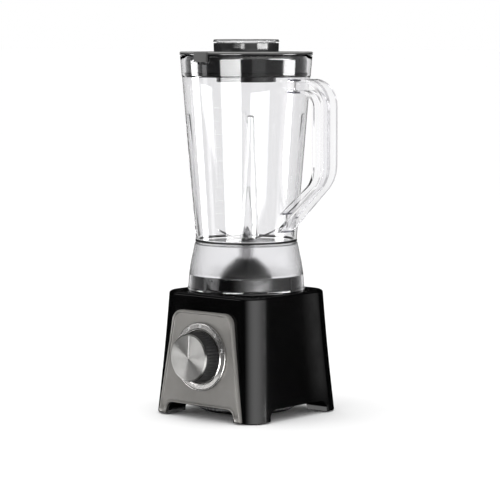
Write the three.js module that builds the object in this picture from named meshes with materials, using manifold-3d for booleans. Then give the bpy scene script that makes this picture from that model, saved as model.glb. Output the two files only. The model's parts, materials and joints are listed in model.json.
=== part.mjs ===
// A countertop blender: motor base with a control dial, a clear jar with blades, a lid and a cap.
// Millimetres, +Z up. The dial faces -Y and the jar's handle points to +X.
// The frame's origin is the middle of the whole object's box, on the surface it stands on.
import * as THREE from 'three';
import { mergeVertices } from 'three/addons/utils/BufferGeometryUtils.js';
import Module from 'manifold-3d';

const wasm = await Module();
wasm.setup();

// ---- Driving dimensions ----
const GAP = 0.35; // between neighbouring pieces
const AXIS = { x: -19.2, y: 4.6 }; // the jar's axis in the object's frame

const BASE = {
  legBottom: 1.2,
  top: 125,
  halfBottom: 71.3, // half the width at the floor
  halfTop: 61.8, // half the width at the shoulder
  shoulder: 119, // where the sides start to round into the top
  corner: 24,
  wall: 2.6,
  archHalf: 45,
  archHeight: 13,
  archRound: 9,
  ceiling: 15.6, // upper side of the floor between the legs
};
const BOSS = { radius: 56.8, topRadius: 55.2, top: 141, inner: 52, floor: 128.6, floorThick: 2.4 };
const WELL = { shaftHole: 17 }; // the hole in the floor of the well, for the drive coupling
const PANEL = {
  bottomHalf: 55,
  topHalf: 40,
  shoulder: 94,
  top: 108,
  round: 12,
  frontAtFloor: 73.4, // distance of the front plane from the axis at the floor
  tilt: 0.043, // how far the plane leans back for each millimetre of height
  lip: 2.6,
  recess: 0.8,
};
const DIAL = {
  height: 63,
  bezelRadius: 34.2,
  bezelInner: 26.6,
  knobBack: 25.6, // radius of the knob at the panel
  knobFront: 23.8, // radius of the knob at its face
  reach: 17.6, // how far the face stands out from the panel
};
const DRUM = { radius: 50, bottom: 3, flange: 60, flangeTop: 12.6, hole: 51, sheet: 2.4 };
const VENT = { count: 10, length: 20, width: 4, out: 28 }; // slots in the drum's floor
// A part's reach is how far out from the axis it stands, along X and along Y.
const FOOT = { reach: 57, radius: 9, pin: 3, high: 6 };
const PLATE_SCREW = { reach: 38.5, hole: 2.1, post: 4.8 };
const MOUNT = { reach: 40, radius: 5, low: 101.4, high: 107.6 };
const BOLT = { reach: 24, radius: 2 };
const INLET = { height: 30, radius: 6 };
const INTERLOCK = { reach: 34, width: 4, depth: 8, height: 18, middle: 121 };

const SHAFT = { radius: 4, low: 9.8, high: 136 };
const STATOR = { half: 32, low: 52, high: 88, bore: 20, slotReach: 21 };
const BEARING = { radius: 8, bracket: 14, arm: 12 };
const UPPER_BRACKET = { low: 95, high: 101, span: 126 };
const LOWER_BRACKET = { low: 25, high: 30, span: 80 };
const COMMUTATOR = { radius: 12, low: 35, high: 46 };
const BRUSH = { height: 40.5, holderReach: 27, carbonReach: 19.5 };
const FAN = { radius: 42, hub: 8, low: 11, high: 20, blades: 9 };
const DRIVER = { radius: 12.6, hub: 7, low: 133.4, high: 142, teeth: 6 };
const JAR = {
  low: 176.8,
  high: 363,
  lowRadius: 51.8,
  stepHeight: 342,
  stepRadius: 65.2,
  rimRadius: 66.9,
  wall: 2.7,
};
const FLUTE = { top: 304, bottom: 181, depthTop: 1.6, depthBottom: 4, halfTop: 3.4, halfBottom: 7.6 };
const COLLAR = {
  low: 126.2,
  lowRadius: 59.6,
  beadHigh: 127.7,
  waist: [[58.1, 141.5], [56.4, 153], [54.3, 163]], // the skirt's outline as radius and height
  topRadius: 52.1,
  floorLow: 171,
  floorHigh: 173.6,
  wall: 2.2,
};
const SLEEVE = { radius: 7.2, bore: 5, low: 147.5 };
const HANDLE = { outer: 109.7, inner: 95, topOuter: 342.4, topInner: 328, half: 11, flange: 3.2, web: 4 };
const LID = {
  rim: 67.2,
  rimLow: 363.4,
  rimHigh: 366.6,
  plug: 61.2,
  plugLow: 341.5,
  wall: 2.4,
  neck: 33.4,
  neckTop: 373.4,
  tubeLow: 336, // lower end of the tube that the cap stands in
  tab: 16, // width of the tab over the pouring notch
};
const CAP = { cup: 27.4, cupLow: 338.5, disc: 33.4, discLow: 376, top: 379, wall: 2.2 };
const SPINDLE = { radius: 3, low: 141.6, high: 185, collar: 5.2, collarLow: 175.8, collarHigh: 176.6 };
const LOWER_BLADE = { length: 30, width: 13, bend: 8, rise: 8.4, low: 176.95, turn: 25 };
const UPPER_BLADE = { length: 25, width: 12, bend: 7, rise: 7.4, low: 178.9, turn: 122 };
const BLADE_SHEET = 1.6;
const NUT = { radius: 5, low: 180.85, high: 184 };
const CLUTCH = { inner: 13.2, low: 138.4, bell: 26, bellLow: 141, bellHigh: 143.5, top: 157, dogs: 6 };
const CORNERS = [[1, 1], [1, -1], [-1, 1], [-1, -1]];
const ROUND = { wall: 64, large: 32, medium: 16, small: 8 }; // sides of a round piece, by its size
const BOLTS = CORNERS.slice(1, 3); // the two corners with a through bolt

// ---- Finishes ----
const finish = (color, roughness, metalness, opacity = 1) => ({
  color, roughness, metalness, opacity, transparent: opacity < 1,
});
const GLOSS_BLACK = finish(0x0b0b0c, 0.15, 0);
const SATIN_GREY = finish(0x8a857f, 0.42, 0.5);
const CHROME = finish(0xd8d8d8, 0.08, 1);
const SPUN_ALUMINIUM = finish(0xb9b8b4, 0.3, 1);
const BLACK_RUBBER = finish(0x151515, 0.75, 0);
const BLACK_PLASTIC = finish(0x1c1c1d, 0.5, 0);
const STEEL = finish(0xc4c6c8, 0.25, 1);
const COPPER = finish(0xb06a3b, 0.35, 1);
const LAMINATION = finish(0x5c5f63, 0.5, 0.9);
const CARBON = finish(0x2a2a2c, 0.8, 0);
const CLEAR = finish(0xe9eef0, 0.05, 0, 0.3);

// ---- Solids ----

// A closed three.js geometry as a solid for cutting and joining.
function solid(geometry) {
  const plain = geometry.index ? geometry.toNonIndexed() : geometry.clone();
  const bare = new THREE.BufferGeometry().setAttribute('position', plain.getAttribute('position'));
  const merged = mergeVertices(bare, 1e-4);
  const corners = [...merged.index.array];
  const kept = [];
  for (let i = 0; i < corners.length; i += 3) {
    const [a, b, c] = corners.slice(i, i + 3);
    if (a !== b && b !== c && c !== a) kept.push(a, b, c);
  }
  return new wasm.Manifold(new wasm.Mesh({
    numProp: 3,
    vertProperties: merged.attributes.position.array,
    triVerts: new Uint32Array(kept),
  }));
}

// A solid as a three.js geometry.
function geometryOf(body) {
  const mesh = body.getMesh();
  const geometry = new THREE.BufferGeometry();
  geometry.setAttribute('position', new THREE.BufferAttribute(new Float32Array(mesh.vertProperties), 3));
  geometry.setIndex(new THREE.BufferAttribute(new Uint32Array(mesh.triVerts), 1));
  geometry.computeVertexNormals();
  return geometry;
}

// A named piece in the given group.
function piece(group, name, shape, look) {
  const geometry = shape.isBufferGeometry ? shape : geometryOf(shape);
  const mesh = new THREE.Mesh(geometry, new THREE.MeshStandardMaterial(look));
  mesh.name = name;
  group.add(mesh);
  return mesh;
}

// A closed profile of [radius, height] pairs, anticlockwise, turned round the Z axis.
function turned(profile, segments = 32) {
  const loop = profile.map(([r, z]) => new THREE.Vector2(r, z));
  const onAxis = profile[0][0] === 0 && profile.at(-1)[0] === 0;
  if (!onAxis) loop.push(loop[0].clone());
  return new THREE.LatheGeometry(loop, segments).rotateX(Math.PI / 2);
}

// A solid round bar along Z from one height to another.
const bar = (r, low, high, segments = 32) => turned([[0, low], [r, low], [r, high], [0, high]], segments);

// A ring or tube along Z.
const ring = (inner, outer, low, high, segments = 32) =>
  turned([[inner, low], [outer, low], [outer, high], [inner, high]], segments);

const box = (w, d, h, x, y, z) => new THREE.BoxGeometry(w, d, h).translate(x, y, z);

// A rectangle with rounded corners as a shape.
function roundedRectangle(halfW, halfD, r) {
  const s = new THREE.Shape();
  s.moveTo(halfW, -halfD + r);
  s.lineTo(halfW, halfD - r);
  s.absarc(halfW - r, halfD - r, r, 0, Math.PI / 2, false);
  s.absarc(-halfW + r, halfD - r, r, Math.PI / 2, Math.PI, false);
  s.absarc(-halfW + r, -halfD + r, r, Math.PI, 1.5 * Math.PI, false);
  s.absarc(halfW - r, -halfD + r, r, 1.5 * Math.PI, 2 * Math.PI, false);
  return s;
}

// A rounded block along Z whose half width is given by a function of the height.
function taperedBlock(levels, halfAt, corner) {
  const steps = levels.length - 1;
  const unit = roundedRectangle(100, 100, corner);
  const block = new THREE.ExtrudeGeometry(unit, {
    depth: steps, steps, bevelEnabled: false, curveSegments: 4,
  });
  const p = block.getAttribute('position');
  for (let i = 0; i < p.count; i++) {
    const z = levels[Math.round(p.getZ(i))];
    const shift = halfAt(z) - 100;
    const x = p.getX(i);
    const y = p.getY(i);
    p.setXYZ(i, x + Math.sign(x) * shift, y + Math.sign(y) * shift, z);
  }
  return block;
}

// Half the width of the base housing at a height: straight sides, then a round shoulder.
function baseHalf(z) {
  const { halfBottom, halfTop, shoulder, top } = BASE;
  if (z <= shoulder) return halfBottom + (halfTop - halfBottom) * (z / shoulder);
  const round = top - shoulder;
  const up = (z - shoulder) / round;
  return halfTop - round * (1 - Math.sqrt(Math.max(0, 1 - up * up)));
}

// The arch between two legs, cut right through along Y.
function archTunnel(grow) {
  const half = BASE.archHalf + grow;
  const high = BASE.archHeight + grow;
  const r = BASE.archRound;
  const s = new THREE.Shape();
  s.moveTo(-half, -10);
  s.lineTo(half, -10);
  s.lineTo(half - 1, high - r);
  s.absarc(half - 1 - r, high - r, r, 0, Math.PI / 2, false);
  s.absarc(-half + 1 + r, high - r, r, Math.PI / 2, Math.PI, false);
  s.closePath();
  return new THREE.ExtrudeGeometry(s, { depth: 200, bevelEnabled: false, curveSegments: 3 })
    .translate(0, 0, -100)
    .rotateX(Math.PI / 2);
}

// A geometry moved out to a corner, as a solid.
const atCorner = (geometry, [sx, sy], reach) => solid(geometry.translate(sx * reach, sy * reach, 0));

const bothWays = (grow) => solid(archTunnel(grow)).add(solid(archTunnel(grow).rotateZ(Math.PI / 2)));

// ---- Base ----

function baseHousing() {
  const { legBottom, top, shoulder, wall, corner, ceiling } = BASE;
  const outerLevels = [legBottom, shoulder, shoulder + 3, shoulder + 5, top];
  const outer = solid(taperedBlock(outerLevels, baseHalf, corner));
  const innerHalf = (z) => baseHalf(Math.min(z, shoulder)) - wall;
  const inner = solid(taperedBlock([4, top - wall], innerHalf, corner - wall));
  const { radius, topRadius, top: bossTop, inner: bossInner, floor, floorThick } = BOSS;
  const boss = solid(turned([
    [0, top - wall - 1], [radius, top - wall - 1], [radius, top], [topRadius, bossTop - 1],
    [topRadius - 1, bossTop], [0, bossTop],
  ], ROUND.large));
  const well = solid(bar(bossInner, floor + floorThick, bossTop + 5, ROUND.large));
  const under = solid(bar(bossInner, top - wall - 3, floor, ROUND.large));
  const legWalls = bothWays(ceiling - BASE.archHeight);
  const cavity = inner.subtract(legWalls);
  let body = outer.subtract(cavity).add(boss).subtract(well).subtract(under);
  body = body.subtract(bothWays(0)).subtract(solid(bar(DRUM.hole, 5, 30, ROUND.large)));
  body = body.subtract(solid(bar(WELL.shaftHole, floor - 5, bossTop, ROUND.medium)));
  body = body.subtract(solid(bar(DRUM.flange + GAP, 5, BASE.archHeight, ROUND.large)));
  for (const corner of CORNERS) {
    const post = bar(PLATE_SCREW.post, ceiling - 1, 30, ROUND.small);
    const hanger = bar(MOUNT.radius, MOUNT.high + GAP, top - 1, ROUND.small);
    body = body.add(atCorner(post, corner, PLATE_SCREW.reach));
    body = body.add(atCorner(hanger, corner, MOUNT.reach));
    const screwHole = bar(PLATE_SCREW.hole, 5, 27, ROUND.small);
    const footHole = bar(FOOT.pin + GAP, 0, FOOT.high + 3, ROUND.small);
    body = body.subtract(atCorner(screwHole, corner, PLATE_SCREW.reach));
    body = body.subtract(atCorner(footHole, corner, FOOT.reach));
  }
  const inlet = solid(bar(INLET.radius + GAP, 60, 90, ROUND.medium).rotateX(-Math.PI / 2)
    .translate(0, 0, INLET.height));
  const spindleHole = solid(bar(7, 50, 90, ROUND.medium).rotateX(Math.PI / 2).translate(0, 0, DIAL.height));
  const switchHole = solid(box(INTERLOCK.width + 1, INTERLOCK.depth + 1, 20, 0, INTERLOCK.reach, floor));
  return body.subtract(inlet).subtract(spindleHole).subtract(switchHole);
}

// The outline of the control panel in X and Z, pulled in by an inset.
function panelOutline(inset) {
  const { bottomHalf, topHalf, shoulder, top, round } = PANEL;
  const low = BASE.legBottom + 0.6 + (inset ? inset * 3 : 0);
  const r = round - inset;
  const t = topHalf - inset;
  const inner = BASE.archHalf + 2 + inset * 0.6;
  const archTop = BASE.archHeight + 0.6 + inset * 0.6;
  const s = new THREE.Shape();
  s.moveTo(inner, low);
  s.lineTo(bottomHalf - inset, low);
  s.lineTo(t, shoulder);
  s.absarc(t - r, top - round, r, 0.12, Math.PI / 2, false);
  s.absarc(-t + r, top - round, r, Math.PI / 2, Math.PI - 0.12, false);
  s.lineTo(-t, shoulder);
  s.lineTo(-bottomHalf + inset, low);
  s.lineTo(-inner, low);
  s.absarc(-inner + 10, archTop - 9, 9, Math.PI, Math.PI / 2, true);
  s.absarc(inner - 10, archTop - 9, 9, Math.PI / 2, 0, true);
  s.closePath();
  return s;
}

// The panel's front plane: its distance from the axis at a height.
const panelFront = (z) => PANEL.frontAtFloor - PANEL.tilt * z;

// A wedge between the housing's face and the panel's front plane, or in front of that plane.
function panelSlab(inset, backAt, frontAt) {
  const slab = new THREE.ExtrudeGeometry(panelOutline(inset), {
    depth: 1, bevelEnabled: false, curveSegments: 4,
  }).rotateX(Math.PI / 2);
  const p = slab.getAttribute('position');
  for (let i = 0; i < p.count; i++) {
    const z = p.getZ(i);
    p.setY(i, p.getY(i) < -0.5 ? -frontAt(z) : -backAt(z));
  }
  return solid(slab);
}

// Stands a piece that was built along Z on the panel, pointing out of it, at the dial's centre.
function onPanel(geometry) {
  const lean = Math.atan(PANEL.tilt);
  return geometry
    .rotateX(Math.PI / 2 - lean)
    .translate(0, -panelFront(DIAL.height), DIAL.height);
}

function controlPanel() {
  const plate = panelSlab(0, (z) => baseHalf(z) + GAP, panelFront);
  const field = panelSlab(PANEL.lip, (z) => panelFront(z) - PANEL.recess, (z) => panelFront(z) + 5);
  return plate.subtract(field).subtract(solid(onPanel(bar(6, -20, 10, ROUND.medium))));
}

function dial(group, fixed) {
  const { bezelRadius, bezelInner, knobBack, knobFront, reach } = DIAL;
  const seat = -PANEL.recess + GAP;
  piece(fixed, 'dial_bezel', onPanel(turned([
    [bezelInner, seat], [bezelRadius, seat], [bezelRadius, 0.8], [bezelRadius - 1, 1.6],
    [bezelInner + 1, 1.6], [bezelInner, 0.8],
  ], ROUND.large)), CHROME);
  piece(group, 'knob_body', onPanel(turned([
    [4.2, 1], [7, 1], [7, reach - 5], [knobBack - 2.2, reach - 5], [knobBack - 2.2, 1], [knobBack, 1],
    [knobFront + 0.2, reach - 2], [4.2, reach - 2],
  ], ROUND.large)), BLACK_PLASTIC);
  piece(group, 'knob_face', onPanel(turned([
    [0, reach - 2 + GAP], [knobFront, reach - 2 + GAP], [knobFront - 0.2, reach - 0.8],
    [knobFront - 1.4, reach], [0, reach],
  ], ROUND.large)), SPUN_ALUMINIUM);
  piece(group, 'knob_spindle', onPanel(bar(3.6, -14, reach - 2, ROUND.small)), STEEL);
  piece(fixed, 'rotary_switch', solid(onPanel(box(40, 34, 16, 0, 0, -21)))
    .subtract(solid(onPanel(bar(4.2, -15, 0, ROUND.small)))), BLACK_PLASTIC);
}

function bottomPlate() {
  const { radius, bottom, flange, flangeTop, sheet } = DRUM;
  let body = solid(turned([
    [0, bottom], [radius - 5, bottom], [radius, bottom + 3], [radius, flangeTop - sheet],
    [flange, flangeTop - sheet], [flange, flangeTop], [radius - sheet, flangeTop],
    [radius - sheet, bottom + sheet + 1], [radius - 6, bottom + sheet], [0, bottom + sheet],
  ], ROUND.large));
  for (let i = 0; i < VENT.count; i++) {
    const slot = box(VENT.length, VENT.width, 10, VENT.out, 0, bottom);
    body = body.subtract(solid(slot.rotateZ((i * 2 * Math.PI) / VENT.count)));
  }
  for (const corner of CORNERS) {
    body = body.subtract(atCorner(bar(PLATE_SCREW.hole, 5, 20, ROUND.small), corner, PLATE_SCREW.reach));
  }
  return body;
}

function fasteners(group) {
  const { radius, pin, high } = FOOT;
  CORNERS.forEach((corner, i) => {
    const foot = turned([
      [0, 0], [radius - 0.6, 0], [radius, 0.6], [radius, 0.9], [pin, 0.9], [pin, high], [0, high],
    ], ROUND.medium);
    const screw = turned([
      [0, 8.2], [3.4, 8.2], [3.6, 9.8], [1.7, 9.8], [1.7, 25], [0, 26],
    ], ROUND.small);
    const mount = ring(2, MOUNT.radius, MOUNT.low, MOUNT.high, ROUND.small);
    piece(group, `foot_${i + 1}`, atCorner(foot, corner, FOOT.reach), BLACK_RUBBER);
    piece(group, `plate_screw_${i + 1}`, atCorner(screw, corner, PLATE_SCREW.reach), STEEL);
    piece(group, `motor_mount_${i + 1}`, atCorner(mount, corner, MOUNT.reach), BLACK_RUBBER);
  });
}

// The sleeve at the back through which the power cord comes in.
function cordGland() {
  const { radius, height } = INLET;
  return turned([
    [2.6, 64], [radius, 64], [radius, 71.6], [radius + 3, 71.6], [radius + 3, 76], [radius + 1.4, 79.8],
    [2.6, 79.8],
  ], ROUND.medium).rotateX(-Math.PI / 2).translate(0, 0, height);
}

// The switch in the well that the jar presses down.
function interlock() {
  const { reach, width, depth, height, middle } = INTERLOCK;
  return box(width, depth, height, 0, reach, middle);
}

// ---- Motor ----

// A four-armed bracket round a bearing, with two holes for the through bolts.
function motorBracket({ low, high, span }) {
  const arm = () => box(BEARING.arm, span, high - low, 0, 0, (low + high) / 2);
  const body = solid(bar(BEARING.bracket, low, high, ROUND.medium))
    .add(solid(arm().rotateZ(Math.PI / 4)))
    .add(solid(arm().rotateZ(-Math.PI / 4)))
    .subtract(solid(bar(BEARING.radius + GAP, low - 1, high + 1, ROUND.medium)));
  return boltHoles(body, low, high);
}

// The holes of the two through bolts, cut from one height to another.
function boltHoles(body, low, high) {
  const holes = BOLTS.map((corner) =>
    atCorner(bar(BOLT.radius + GAP, low - 1, high + 1, ROUND.small), corner, BOLT.reach));
  return body.subtract(holes[0]).subtract(holes[1]);
}

function stator() {
  const { half, low, high, bore, slotReach } = STATOR;
  const stack = new THREE.ExtrudeGeometry(roundedRectangle(half, half, 6), {
    depth: high - low, bevelEnabled: false, curveSegments: 4,
  }).translate(0, 0, low);
  let body = solid(stack).subtract(solid(bar(bore, low - 1, high + 1, ROUND.medium)));
  for (const side of [-1, 1]) {
    body = body.subtract(solid(box(36, 5.4, high - low + 2, 0, side * slotReach, (low + high) / 2)));
  }
  return boltHoles(body, low, high);
}

// A field coil: a racetrack loop through the stator's slot and back over its end.
function fieldCoil(side) {
  const middle = (STATOR.low + STATOR.high) / 2;
  const thick = 4.6;
  const loop = roundedRectangle(17.4, 22.2, 4);
  const hole = roundedRectangle(13, STATOR.high - middle + GAP, 2);
  loop.holes.push(new THREE.Path(hole.getPoints(3)));
  return new THREE.ExtrudeGeometry(loop, { depth: thick, bevelEnabled: false, curveSegments: 3 })
    .rotateX(Math.PI / 2)
    .translate(0, side * STATOR.slotReach + thick / 2, middle);
}

function motor(fixed, rotor) {
  const { radius, low, high } = SHAFT;
  const wound = (outer, from, to) => ring(radius + GAP, outer, from, to, ROUND.medium);
  const bearing = (seat) => ring(radius + 0.1, BEARING.radius, seat.low, seat.high, ROUND.medium);
  piece(fixed, 'motor_stator', stator(), LAMINATION);
  piece(fixed, 'upper_motor_bracket', motorBracket(UPPER_BRACKET), BLACK_PLASTIC);
  piece(fixed, 'lower_motor_bracket', motorBracket(LOWER_BRACKET), BLACK_PLASTIC);
  piece(fixed, 'upper_bearing', bearing(UPPER_BRACKET), STEEL);
  piece(fixed, 'lower_bearing', bearing(LOWER_BRACKET), STEEL);
  BOLTS.forEach((corner, i) => {
    const bolt = turned([
      [0, 21], [4, 21], [4, 24.6], [BOLT.radius, 24.6], [BOLT.radius, 104], [0, 104],
    ], ROUND.small);
    piece(fixed, `motor_bolt_${i + 1}`, atCorner(bolt, corner, BOLT.reach), STEEL);
  });
  for (const [name, side] of [['left', -1], ['right', 1]]) {
    const tube = solid(box(24, 10, 11, side * BRUSH.holderReach, 0, BRUSH.height));
    const hollow = solid(box(26, 6.8, 7.8, side * BRUSH.holderReach, 0, BRUSH.height));
    const block = box(14, 6, 7, side * BRUSH.carbonReach, 0, BRUSH.height);
    piece(fixed, `brush_holder_${name}`, tube.subtract(hollow), BLACK_PLASTIC);
    piece(fixed, `carbon_brush_${name}`, block, CARBON);
  }
  piece(rotor, 'motor_shaft', bar(radius, low, high, ROUND.medium), STEEL);
  piece(rotor, 'armature', wound(STATOR.bore - 1, STATOR.low, STATOR.high), LAMINATION);
  piece(rotor, 'commutator', wound(COMMUTATOR.radius, COMMUTATOR.low, COMMUTATOR.high), COPPER);
  piece(rotor, 'cooling_fan', coolingFan(), BLACK_PLASTIC);
  piece(rotor, 'drive_coupling', driveCoupling(), BLACK_PLASTIC);
}

function coolingFan() {
  const { radius, hub, low, high, blades } = FAN;
  const disc = ring(hub - 1, radius, high - 1.6, high, ROUND.medium);
  let body = solid(ring(SHAFT.radius + GAP, hub, low, high, ROUND.medium)).add(solid(disc));
  for (let i = 0; i < blades; i++) {
    const blade = box(30, 1.6, 7.8, 26, 0, low + 3.9).rotateZ((i * 2 * Math.PI) / blades);
    body = body.add(solid(blade));
  }
  return body;
}

// The toothed driver that stands up in the well of the base.
function driveCoupling() {
  const { radius, hub, low, high, teeth } = DRIVER;
  const disc = bar(radius, high - 5.8, high - 4, ROUND.medium);
  let body = solid(ring(SHAFT.radius + GAP, hub, low, high - 4.5, ROUND.medium)).add(solid(disc));
  for (let i = 0; i < teeth; i++) {
    const tooth = box(4.6, 4, 5, 9.4, 0, high - 2.5).rotateZ((i * 2 * Math.PI) / teeth);
    body = body.add(solid(tooth));
  }
  return body;
}

// ---- Jar ----

// The jar's outer radius at a height.
function jarRadius(z) {
  const { low, high, lowRadius, stepHeight, stepRadius, rimRadius } = JAR;
  if (z <= stepHeight) return lowRadius + ((stepRadius - lowRadius) * (z - low)) / (stepHeight - low);
  return stepRadius + ((rimRadius - stepRadius) * (z - stepHeight)) / (high - stepHeight);
}

// How far a flute presses the wall inwards at a height and an angle.
function fluteDepth(angle, z) {
  const { top, bottom, depthTop, depthBottom, halfTop, halfBottom } = FLUTE;
  const up = (z - bottom) / (top - bottom);
  if (up < -0.01 || up > 1.01) return 0;
  const quarter = Math.PI / 2;
  const off = Math.abs(((angle + 8 * quarter) % quarter) - quarter / 2);
  const half = (halfBottom + (halfTop - halfBottom) * up) / jarRadius(z);
  if (off >= half) return 0;
  return (depthBottom + (depthTop - depthBottom) * up) * Math.cos((off / half) * (Math.PI / 2)) ** 2;
}

function jar() {
  const { low, high, wall } = JAR;
  const levels = [low, FLUTE.bottom - 3, FLUTE.bottom, 242, FLUTE.top, FLUTE.top + 3, JAR.stepHeight, high];
  const outside = levels.map((z) => [jarRadius(z), z]);
  const inside = levels.map((z) => [jarRadius(z) - wall, z]).reverse();
  const body = turned([...outside, ...inside], ROUND.wall);
  const p = body.getAttribute('position');
  for (let i = 0; i < p.count; i++) {
    const x = p.getX(i);
    const y = p.getY(i);
    const scale = 1 - fluteDepth(Math.atan2(y, x), p.getZ(i)) / Math.hypot(x, y);
    p.setXY(i, x * scale, y * scale);
  }
  const notch = solid(box(13, 20, 16, 0, -JAR.rimRadius, high - 1));
  return solid(body).subtract(notch);
}

// The handle's outline in X and Z, pulled in by an inset.
function handleOutline(inset) {
  const { outer, inner, topOuter, topInner } = HANDLE;
  const o = outer - inset;
  const i = inner + inset;
  const s = new THREE.Shape();
  s.moveTo(50, topOuter - inset);
  s.lineTo(82, topOuter - inset);
  s.absarc(o - 27 + inset, topOuter - 27, 27 - inset, Math.PI / 2, 0, true);
  s.lineTo(o, 255);
  s.quadraticCurveTo(o, 240.5, o - 10, 231.5);
  s.lineTo(45 - inset * 0.8, 178.6 + inset * 0.9);
  s.lineTo(45 - inset * 0.8, 197 - inset * 0.6);
  s.lineTo(i - 6, 234.5 + inset * 0.2);
  s.quadraticCurveTo(i, 240, i, 248);
  s.lineTo(i, topInner - 14);
  s.absarc(i - 14 - inset, topInner - 14, 14 + inset, 0, Math.PI / 2, false);
  s.lineTo(50, topInner + inset);
  s.closePath();
  return s;
}

function handle() {
  const { half, flange, web } = HANDLE;
  const slab = (inset, depth) => solid(new THREE.ExtrudeGeometry(handleOutline(inset), {
    depth, bevelEnabled: false, curveSegments: 5,
  }).rotateX(Math.PI / 2));
  const pocketDepth = half - web / 2;
  const nearPocket = slab(flange, pocketDepth + 1).translate([0, half + 1, 0]);
  const farPocket = slab(flange, pocketDepth + 1).translate([0, -web / 2, 0]);
  const jarSpace = solid(turned([
    [0, 150], [jarRadius(150) + GAP, 150], [jarRadius(JAR.stepHeight) + GAP, JAR.stepHeight],
    [jarRadius(365) + GAP, 365], [0, 365],
  ], ROUND.large));
  return slab(0, 2 * half).translate([0, half, 0])
    .subtract(nearPocket).subtract(farPocket).subtract(jarSpace);
}

// The skirt that drops over the boss of the base, with the jar's floor and the blade bearing's sleeve.
function jarCollar() {
  const { low, lowRadius, beadHigh, waist, topRadius, floorLow, floorHigh, wall } = COLLAR;
  const { radius, bore, low: sleeveLow } = SLEEVE;
  const inside = waist.map(([r, z]) => [r - wall, z]).reverse();
  return solid(turned([
    [bore, sleeveLow], [radius, sleeveLow], [radius, floorLow], [topRadius - wall - 0.8, floorLow],
    ...inside, [lowRadius - wall, low + 1], [lowRadius - wall, low],
    [lowRadius, low], [lowRadius, beadHigh], ...waist, [topRadius, floorHigh],
    [bore, floorHigh],
  ], ROUND.large));
}

// One blade strip with two bent-up arms, cut from sheet steel.
function bladeStrip({ length, width, bend, rise, low, turn }) {
  const t = BLADE_SHEET;
  const s = new THREE.Shape();
  s.moveTo(-bend, 0);
  s.lineTo(bend, 0);
  s.lineTo(length, rise);
  s.lineTo(length - 0.6, rise + t);
  s.lineTo(bend - 0.4, t);
  s.lineTo(-bend + 0.4, t);
  s.lineTo(-length + 0.6, rise + t);
  s.lineTo(-length, rise);
  s.closePath();
  const strip = new THREE.ExtrudeGeometry(s, { depth: width, bevelEnabled: false })
    .rotateX(Math.PI / 2)
    .translate(0, width / 2, low);
  const p = strip.getAttribute('position');
  for (let i = 0; i < p.count; i++) {
    const tipward = Math.max(0, Math.abs(p.getX(i)) - bend) / (length - bend);
    p.setY(i, p.getY(i) * (1 - 0.62 * tipward));
  }
  return solid(strip.rotateZ((turn * Math.PI) / 180));
}

function bladeSet(group) {
  const { radius, low, high, collar, collarLow, collarHigh } = SPINDLE;
  const hole = solid(bar(radius + GAP, low, high + 5, ROUND.medium));
  const nut = new THREE.CylinderGeometry(NUT.radius, NUT.radius, NUT.high - NUT.low, 6).rotateX(Math.PI / 2)
    .translate(0, 0, (NUT.low + NUT.high) / 2);
  piece(group, 'blade_shaft', turned([
    [0, low], [radius, low], [radius, collarLow], [collar, collarLow], [collar, collarHigh],
    [radius, collarHigh], [radius, high], [0, high],
  ], ROUND.medium), STEEL);
  piece(group, 'blade_lower', bladeStrip(LOWER_BLADE).subtract(hole), STEEL);
  piece(group, 'blade_upper', bladeStrip(UPPER_BLADE).subtract(hole), STEEL);
  piece(group, 'blade_nut', solid(nut).subtract(hole), STEEL);
  piece(group, 'jar_coupling', couplingBell(), BLACK_PLASTIC);
}

// The bell under the jar that sits over the toothed driver and is turned by it.
function couplingBell() {
  const { inner, low, bell, bellLow, bellHigh, top, dogs } = CLUTCH;
  const bore = SPINDLE.radius + GAP;
  const web = SLEEVE.low - 1;
  let body = solid(turned([
    [bore, web - 4], [inner, web - 4], [inner, low], [inner + 2.4, low], [bell, bellLow], [bell, bellHigh],
    [SLEEVE.radius + 3, top], [SLEEVE.radius + 0.8, top], [SLEEVE.radius + 0.8, web], [bore, web],
  ], ROUND.large));
  for (let i = 0; i < dogs; i++) {
    const dog = box(3.4, 2.4, 4.6, inner - 1, 0, low + 2.6).rotateZ(((i + 0.5) * 2 * Math.PI) / dogs);
    body = body.add(solid(dog));
  }
  return body;
}

function jarParts(group) {
  const gasketLow = COLLAR.floorHigh + GAP;
  const gasket = ring(JAR.lowRadius - 6, JAR.lowRadius, gasketLow, JAR.low - GAP, ROUND.large);
  piece(group, 'jar', jar(), CLEAR);
  piece(group, 'handle', handle(), CLEAR);
  piece(group, 'jar_gasket', gasket, BLACK_RUBBER);
  piece(group, 'jar_collar', jarCollar(), CLEAR);
  piece(group, 'bearing_bush', ring(3.12, SLEEVE.bore - 0.2, 150, 172, ROUND.medium), STEEL);
  piece(group, 'shaft_seal', turned([
    [3.1, gasketLow], [9, gasketLow], [7.6, gasketLow + 1.5], [3.1, gasketLow + 1.5],
  ], ROUND.medium), BLACK_RUBBER);
}

// ---- Lid and cap ----

function lid() {
  const { rim, rimLow, rimHigh, plug, plugLow, wall, neck, neckTop, tubeLow, tab: tabWidth } = LID;
  const bore = CAP.cup + 0.5;
  const groove = plugLow + 4.4; // upper end of the seal's groove
  const body = solid(turned([
    [bore, tubeLow], [bore + wall, tubeLow], [bore + wall, rimLow], [plug - wall, rimLow],
    [plug - wall, plugLow], [plug - 0.8, plugLow], [plug - 0.8, groove], [plug, groove], [plug + 0.8, rimLow],
    [rim, rimLow], [rim + 0.3, rimLow + 1], [rim - 0.6, rimHigh], [neck, rimHigh], [neck, neckTop],
    [bore, neckTop],
  ], ROUND.large));
  const tab = solid(box(tabWidth, 3, 9.5, 0, -rim - 1.4, rimHigh - 5.4));
  const bridge = solid(box(tabWidth, 5, 2.4, 0, -rim + 0.6, rimLow + 1.5));
  return body.add(tab).add(bridge);
}

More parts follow.
